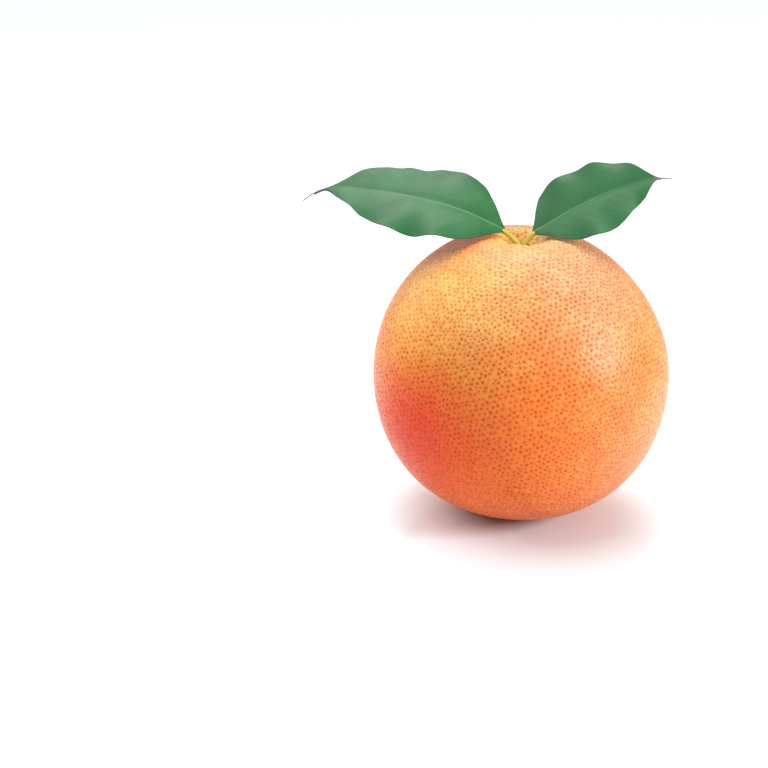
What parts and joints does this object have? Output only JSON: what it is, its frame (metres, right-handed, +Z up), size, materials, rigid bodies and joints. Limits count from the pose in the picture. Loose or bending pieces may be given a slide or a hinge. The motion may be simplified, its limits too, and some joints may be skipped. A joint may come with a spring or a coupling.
{
  "type": "pomelo",
  "caption": "Whole round citrus fruit with a drawn-in stalk end, a star calyx, a short cut stalk and wavy leaves with drip tips, standing on a small flat spot.",
  "frame": {"origin": "middle of the small flat spot under the fruit, on the surface that it rests on", "axes": "+Z up along the fruit's core to the stalk end; +X towards the smaller leaf, -X towards the longer one; -Y is the side the picture shows"},
  "size_m": [0.1631, 0.1304, 0.1524],
  "materials": {
    "rind": "satin waxy rind with fine oil pores",
    "calyx": "matt, dry at the lobe tips",
    "stalk": "matt green bark with a pale cut end",
    "leaf": "satin above, matt and paler below"
  },
  "bodies": {
    "root": {"fruit": "rind", "calyx": "calyx", "stalk": "stalk", "leaf_left": "leaf", "leaf_right": "leaf"}
  },
  "joints": []
}
